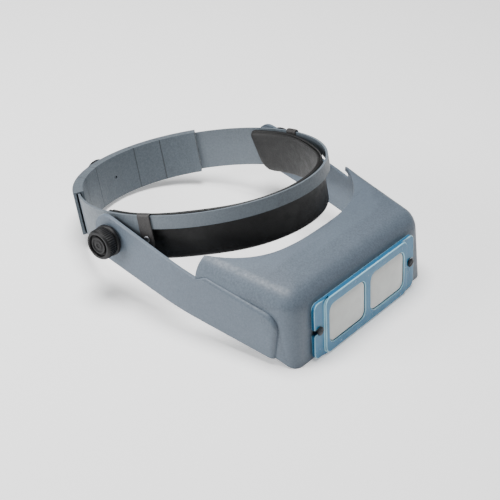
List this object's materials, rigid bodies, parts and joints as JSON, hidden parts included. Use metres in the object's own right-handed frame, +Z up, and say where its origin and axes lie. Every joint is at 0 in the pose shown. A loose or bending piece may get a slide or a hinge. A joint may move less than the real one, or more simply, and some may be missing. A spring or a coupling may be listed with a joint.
{
  "type": "head visor magnifier",
  "caption": "Headband magnifier: a grey band with leather brow pad and size clamp carries a tilting hood visor with a clear blue lens plate on its front.",
  "frame": {"origin": "middle of the bounding box in X and Y, at the level of the surface it stands on", "axes": "+Z up; -Y to the wearer's front, where the lens plate is; +X to the wearer's left"},
  "size_m": [0.2044, 0.2568, 0.0871],
  "materials": {
    "band_plastic": "fine grain moulded grey plastic",
    "sleeve_plastic": "fine grain moulded grey plastic, scored inside",
    "visor_plastic": "fine grain moulded grey plastic",
    "knob_plastic": "knurled black plastic",
    "cap_plastic": "dark grey plastic with turned rings",
    "washer_rubber": "smooth black rubber",
    "pad_leather": "matt dark grey leather",
    "backing_leather": "black backed leatherette",
    "tab_leather": "dark grey leather",
    "rivet_metal": "satin",
    "fastener_steel": "satin",
    "screw_black": "blackened steel",
    "frame_blue": "clear blue tinted acrylic",
    "lens_glass": "polished optical glass"
  },
  "bodies": {
    "headband": {"front_band": "band_plastic", "band_tail_left": "band_plastic", "band_tail_right": "band_plastic", "comfort_backing": "backing_leather", "comfort_pad": "pad_leather", "comfort_tab_left": "tab_leather", "comfort_tab_right": "tab_leather", "tab_rivet_left": "rivet_metal", "tab_rivet_right": "rivet_metal", "pivot_bolt_left": "fastener_steel", "pivot_bolt_right": "fastener_steel", "pivot_spacer_left": "band_plastic", "pivot_spacer_right": "band_plastic", "friction_washer_left": "washer_rubber", "friction_washer_right": "washer_rubber", "pivot_washer_left": "fastener_steel", "pivot_washer_right": "fastener_steel"},
    "visor": {"visor_shell": "visor_plastic", "screw_insert_left": "fastener_steel", "screw_insert_right": "fastener_steel"},
    "left_pivot_knob": {"pivot_knob_left": "knob_plastic", "pivot_knob_cap_left": "cap_plastic"},
    "right_pivot_knob": {"pivot_knob_right": "knob_plastic", "pivot_knob_cap_right": "cap_plastic"},
    "size_sleeve": {"rear_sleeve": "sleeve_plastic", "clamp_bolt": "fastener_steel", "clamp_washer": "fastener_steel"},
    "size_knob": {"clamp_knob": "knob_plastic", "clamp_knob_cap": "cap_plastic"},
    "lens_assembly": {"lens_plate": "frame_blue", "lens_left": "lens_glass", "lens_right": "lens_glass"},
    "left_plate_screw": {"plate_screw_left": "screw_black"},
    "right_plate_screw": {"plate_screw_right": "screw_black"}
  },
  "joints": [
    {"name": "visor_tilt", "type": "hinge", "parent": "headband", "child": "visor", "pos_m": [0, 0.02502, 0.04126], "axis": [-1, 0, 0], "range_deg": [-12, 75]},
    {"name": "left_knob_turn", "type": "hinge", "parent": "headband", "child": "left_pivot_knob", "pos_m": [0, 0.02502, 0.04126], "axis": [1, 0, 0], "continuous": true},
    {"name": "right_knob_turn", "type": "hinge", "parent": "headband", "child": "right_pivot_knob", "pos_m": [0, 0.02502, 0.04126], "axis": [-1, 0, 0], "continuous": true},
    {"name": "size_slide", "type": "slide", "parent": "headband", "child": "size_sleeve", "axis": [0, 0.9545, -0.2982], "range_m": [0, 0.012], "deforming": ["band_tail_left", "band_tail_right"]},
    {"name": "size_knob_turn", "type": "hinge", "parent": "size_sleeve", "child": "size_knob", "pos_m": [0, 0.11385, 0.01508], "axis": [0, 0.9545, -0.2982], "continuous": true},
    {"name": "lens_assembly_pull", "type": "slide", "parent": "visor", "child": "lens_assembly", "axis": [0, -0.9912, 0.1323], "range_m": [0, 0.022]},
    {"name": "left_screw_turn", "type": "hinge", "parent": "lens_assembly", "child": "left_plate_screw", "pos_m": [0.0534, -0.1257, 0.0213], "axis": [0, -0.9912, 0.1323], "continuous": true},
    {"name": "right_screw_turn", "type": "hinge", "parent": "lens_assembly", "child": "right_plate_screw", "pos_m": [-0.0534, -0.1257, 0.0213], "axis": [0, -0.9912, 0.1323], "continuous": true}
  ]
}
